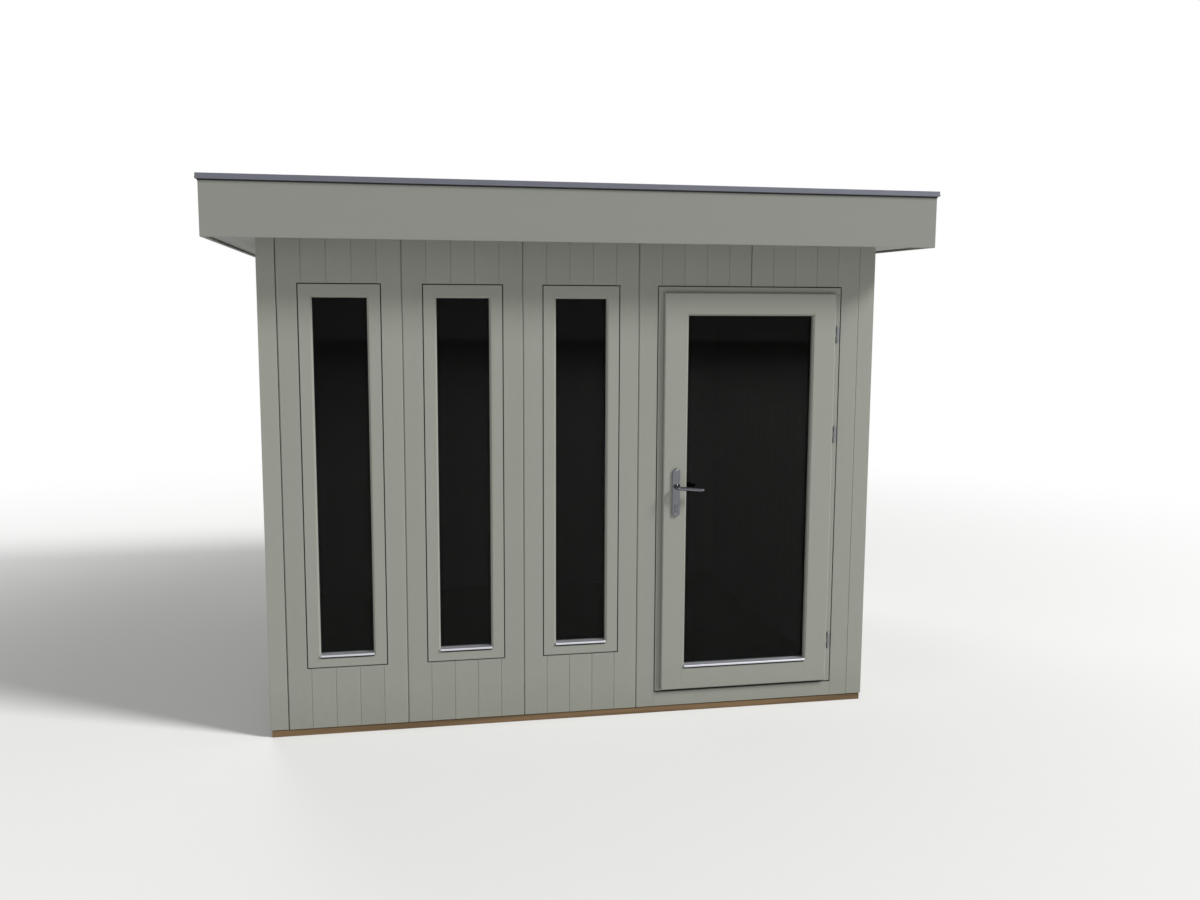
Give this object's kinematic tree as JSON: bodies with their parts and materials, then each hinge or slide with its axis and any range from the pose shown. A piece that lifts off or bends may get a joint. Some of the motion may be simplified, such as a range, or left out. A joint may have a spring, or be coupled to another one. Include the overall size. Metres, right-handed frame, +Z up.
{
  "type": "garden office pod",
  "caption": "Timber garden room with upright board cladding, tall slot windows, a glazed outward-opening door and a flat overhanging roof.",
  "frame": {"origin": "middle of the footprint at ground level, on the underside of the middle base joist", "axes": "+Z up, +X to the right seen from the front, the front with the door and windows faces -Y"},
  "size_m": [3.392, 2.864, 2.577],
  "materials": {
    "painted_boards": "pale grey-green paint, satin",
    "painted_joinery": "pale grey-green paint, satin, smooth",
    "treated_timber": "pressure treated, sawn",
    "plain_timber": "bare, planed",
    "floor": "satin lacquer",
    "lining": "pale matt paint",
    "glass": "clear double glazing, dark from outside",
    "bar_metal": "bright mill finish",
    "handle_metal": "polished",
    "hinge_steel": "satin",
    "edge_metal": "dark grey coated metal",
    "roof_sheet": "dark membrane, matt"
  },
  "bodies": {
    "pod": {"base_rims": "treated_timber", "base_joists": "treated_timber", "floor_deck": "plain_timber", "floor_boards": "floor", "front_header": "plain_timber", "front_apron": "plain_timber", "front_piers": "plain_timber", "left_wall": "plain_timber", "right_wall": "plain_timber", "back_wall": "plain_timber", "front_cladding": "painted_boards", "side_cladding": "painted_boards", "back_cladding": "painted_boards", "corner_trims": "painted_boards", "front_lining": "lining", "side_linings": "lining", "back_lining": "lining", "ceiling": "lining", "window_frames": "painted_joinery", "window_beads": "painted_joinery", "window_glass": "glass", "window_weather_bars": "bar_metal", "door_jambs": "painted_joinery", "door_head": "painted_joinery", "door_sill": "painted_joinery", "hinge_brackets": "hinge_steel", "roof_joist_set": "plain_timber", "roof_deck": "plain_timber", "roof_covering": "roof_sheet", "front_and_back_fascias": "painted_joinery", "side_fascias": "painted_joinery", "front_and_back_soffits": "painted_joinery", "side_soffits": "painted_joinery", "roof_edge_trim": "edge_metal"},
    "door": {"door_stiles": "painted_joinery", "door_rails": "painted_joinery", "door_lips": "painted_joinery", "door_glass": "glass", "door_beads": "painted_joinery", "door_weather_bar": "bar_metal", "handle_plates": "handle_metal", "lock_cylinder": "handle_metal", "hinge_leaves": "hinge_steel"},
    "levers": {"outer_lever": "handle_metal", "inner_lever": "handle_metal", "spindle": "hinge_steel"}
  },
  "joints": [
    {"name": "door_swing", "type": "hinge", "parent": "pod", "child": "door", "pos_m": [1.288, -1.213, 1.107], "axis": [0, 0, 1], "range_deg": [0, 100]},
    {"name": "lever_turn", "type": "hinge", "parent": "door", "child": "levers", "pos_m": [0.468, -1.187, 1.15], "axis": [0, 1, 0], "range_deg": [0, 40], "stiffness_Nm_per_rad": 2, "springref_deg": -34.38}
  ]
}
